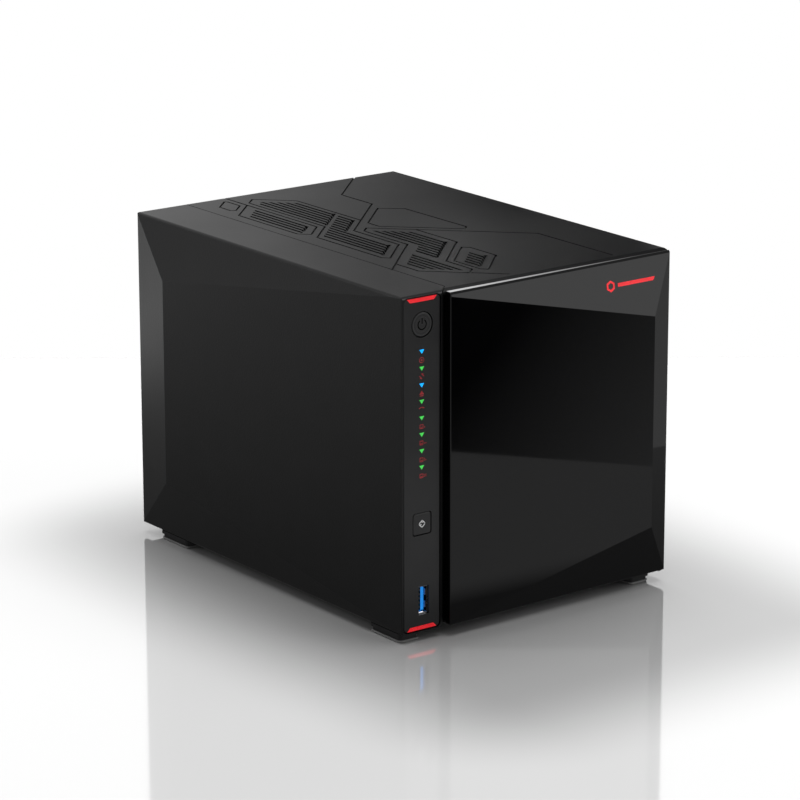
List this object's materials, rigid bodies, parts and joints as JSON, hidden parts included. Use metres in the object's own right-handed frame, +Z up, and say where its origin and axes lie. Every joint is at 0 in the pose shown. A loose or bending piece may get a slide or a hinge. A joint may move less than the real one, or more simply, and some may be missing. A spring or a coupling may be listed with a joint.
{
  "type": "nas enclosure",
  "caption": "Desktop network storage enclosure with faceted sides, a gloss pull-off front door, sliding drive trays, a control strip, a rear fan and ports.",
  "frame": {"origin": "centre of the footprint, on the surface the feet stand on", "axes": "+X to the right seen from the front, front faces -Y, +Z up"},
  "size_m": [0.174, 0.23, 0.17],
  "materials": {
    "case_plastic": "fine-textured black",
    "strip_plastic": "satin black",
    "button_plastic": "satin black",
    "base_metal": "black powder coat",
    "rear_metal": "black powder coat",
    "foot_plastic": "satin dark grey",
    "foot_rubber": "matte grey",
    "accent_red": "satin red",
    "light_blue": "lit",
    "light_green": "lit",
    "circuit_board": "solder-masked",
    "connector_black": "moulded",
    "cable_black": "matte",
    "connector_metal": "plated",
    "usb_blue": "moulded",
    "door_gloss": "piano black",
    "inner_plastic": "moulded",
    "magnet_metal": "plated",
    "cage_steel": "zinc-plated sheet",
    "heatsink_metal": "extruded",
    "chip_black": "moulded",
    "screw_black": "black oxide",
    "screw_steel": "plated",
    "fan_plastic": "moulded",
    "tray_plastic": "moulded",
    "latch_plastic": "satin",
    "drive_metal": "cast"
  },
  "bodies": {
    "case": {"left_shell": "case_plastic", "main_shell": "case_plastic", "base_plate": "base_metal", "foot_bosses": "foot_plastic", "foot_pads": "foot_rubber", "control_panel": "strip_plastic", "accent_inlays": "accent_red", "status_lights_blue": "light_blue", "status_lights_green": "light_green", "front_board": "circuit_board", "tact_switches": "connector_black", "usb_shells": "connector_metal", "usb_tongues": "usb_blue", "front_bezel": "inner_plastic", "catch_plates": "cage_steel", "drive_cage": "cage_steel", "guide_rails": "inner_plastic", "sata_connectors": "connector_black", "backplane_board": "circuit_board", "mainboard": "circuit_board", "heatsink": "heatsink_metal", "processor": "chip_black", "memory_sockets": "connector_black", "memory_modules": "circuit_board", "board_link": "connector_black", "network_jacks": "connector_metal", "hdmi_port": "connector_metal", "dc_jack": "connector_black", "internal_leads": "cable_black", "rear_panel": "rear_metal", "fan_screws": "screw_black", "case_screws": "screw_steel", "fan_frame": "fan_plastic"},
    "door": {"door_panel": "door_gloss", "door_backing": "inner_plastic", "door_magnets": "magnet_metal"},
    "power_button": {"power_button": "button_plastic"},
    "copy_button": {"copy_button": "button_plastic"},
    "reset_button": {"reset_button": "connector_black"},
    "fan_rotor": {"fan_rotor": "fan_plastic"},
    "tray_1": {"tray_sled_1": "tray_plastic", "tray_front_1": "tray_plastic", "hard_drive_1": "drive_metal"},
    "latch_1": {"tray_latch_1": "latch_plastic"},
    "release_1": {"tray_button_1": "latch_plastic"},
    "tray_2": {"tray_sled_2": "tray_plastic", "tray_front_2": "tray_plastic", "hard_drive_2": "drive_metal"},
    "latch_2": {"tray_latch_2": "latch_plastic"},
    "release_2": {"tray_button_2": "latch_plastic"},
    "tray_3": {"tray_sled_3": "tray_plastic", "tray_front_3": "tray_plastic", "hard_drive_3": "drive_metal"},
    "latch_3": {"tray_latch_3": "latch_plastic"},
    "release_3": {"tray_button_3": "latch_plastic"},
    "tray_4": {"tray_sled_4": "tray_plastic", "tray_front_4": "tray_plastic", "hard_drive_4": "drive_metal"},
    "latch_4": {"tray_latch_4": "latch_plastic"},
    "release_4": {"tray_button_4": "latch_plastic"}
  },
  "joints": [
    {"name": "door_pull", "type": "slide", "parent": "case", "child": "door", "axis": [0, -1, 0], "range_m": [0, 0.4]},
    {"name": "power_press", "type": "slide", "parent": "case", "child": "power_button", "axis": [0, 1, 0], "range_m": [0, 0.0008], "stiffness_N_per_m": 600},
    {"name": "copy_press", "type": "slide", "parent": "case", "child": "copy_button", "axis": [0, 1, 0], "range_m": [0, 0.0008], "stiffness_N_per_m": 600},
    {"name": "reset_press", "type": "slide", "parent": "case", "child": "reset_button", "axis": [0, -1, 0], "range_m": [0, 0.0006], "stiffness_N_per_m": 600},
    {"name": "fan_spin", "type": "hinge", "parent": "case", "child": "fan_rotor", "pos_m": [0.013, 0.1, 0.088], "axis": [0, -1, 0], "continuous": true},
    {"name": "tray_1_slide", "type": "slide", "parent": "case", "child": "tray_1", "axis": [0, -1, 0], "range_m": [0, 0.18]},
    {"name": "latch_1_swing", "type": "hinge", "parent": "tray_1", "child": "latch_1", "pos_m": [-0.0358, -0.1016, 0.146], "axis": [-1, 0, 0], "range_deg": [0, 60]},
    {"name": "release_1_press", "type": "slide", "parent": "tray_1", "child": "release_1", "axis": [0, 1, 0], "range_m": [0, 0.0008], "stiffness_N_per_m": 600},
    {"name": "tray_2_slide", "type": "slide", "parent": "case", "child": "tray_2", "axis": [0, -1, 0], "range_m": [0, 0.18]},
    {"name": "latch_2_swing", "type": "hinge", "parent": "tray_2", "child": "latch_2", "pos_m": [-0.0034, -0.1016, 0.146], "axis": [-1, 0, 0], "range_deg": [0, 60]},
    {"name": "release_2_press", "type": "slide", "parent": "tray_2", "child": "release_2", "axis": [0, 1, 0], "range_m": [0, 0.0008], "stiffness_N_per_m": 600},
    {"name": "tray_3_slide", "type": "slide", "parent": "case", "child": "tray_3", "axis": [0, -1, 0], "range_m": [0, 0.18]},
    {"name": "latch_3_swing", "type": "hinge", "parent": "tray_3", "child": "latch_3", "pos_m": [0.029, -0.1016, 0.146], "axis": [-1, 0, 0], "range_deg": [0, 60]},
    {"name": "release_3_press", "type": "slide", "parent": "tray_3", "child": "release_3", "axis": [0, 1, 0], "range_m": [0, 0.0008], "stiffness_N_per_m": 600},
    {"name": "tray_4_slide", "type": "slide", "parent": "case", "child": "tray_4", "axis": [0, -1, 0], "range_m": [0, 0.18]},
    {"name": "latch_4_swing", "type": "hinge", "parent": "tray_4", "child": "latch_4", "pos_m": [0.0614, -0.1016, 0.146], "axis": [-1, 0, 0], "range_deg": [0, 60]},
    {"name": "release_4_press", "type": "slide", "parent": "tray_4", "child": "release_4", "axis": [0, 1, 0], "range_m": [0, 0.0008], "stiffness_N_per_m": 600}
  ],
  "couplings": [
    {"joint": "tray_1_slide", "follows": "door_pull", "ratio": 0.45},
    {"joint": "latch_1_swing", "follows": "door_pull", "rad_per_m": 2.6},
    {"joint": "tray_2_slide", "follows": "door_pull", "ratio": 0.45},
    {"joint": "latch_2_swing", "follows": "door_pull", "rad_per_m": 2.6},
    {"joint": "tray_3_slide", "follows": "door_pull", "ratio": 0.45},
    {"joint": "latch_3_swing", "follows": "door_pull", "rad_per_m": 2.6},
    {"joint": "tray_4_slide", "follows": "door_pull", "ratio": 0.45},
    {"joint": "latch_4_swing", "follows": "door_pull", "rad_per_m": 2.6}
  ]
}
